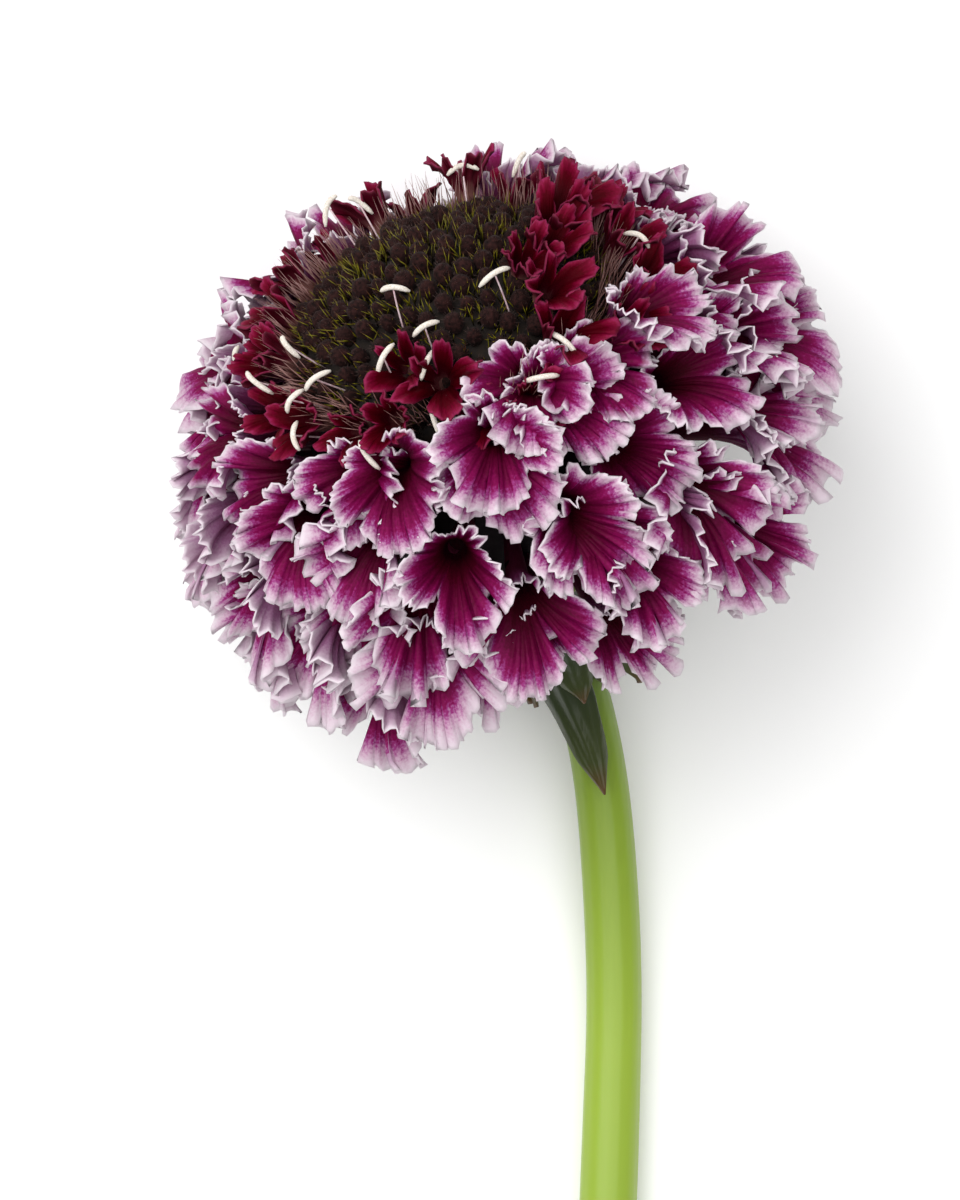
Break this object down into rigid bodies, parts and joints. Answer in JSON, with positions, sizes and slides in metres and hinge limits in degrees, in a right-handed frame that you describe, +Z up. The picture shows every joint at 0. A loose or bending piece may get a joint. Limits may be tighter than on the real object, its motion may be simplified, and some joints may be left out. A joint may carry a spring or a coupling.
{
  "type": "scabiosa flower",
  "caption": "Cut scabiosa flower lying on its side: ball-shaped head of ruffled florets round a domed bud disc, green bracts and a bare curved stem.",
  "frame": {"origin": "centre of the bounding box in plan, on the surface that the flower lies on", "axes": "+Z up off the surface, +Y from the cut end of the stem to the head, +X to the right of the picture"},
  "size_m": [0.0656, 0.1226, 0.0554],
  "materials": {
    "ray_petal": "satin",
    "inner_petal": "satin",
    "disc_bud": "matte",
    "bract_leaf": "satin",
    "stem_skin": "satin"
  },
  "bodies": {
    "root": {"ray_florets": "ray_petal", "inner_florets": "inner_petal", "disc_buds": "disc_bud", "involucre": "bract_leaf", "stem": "stem_skin"}
  },
  "joints": []
}
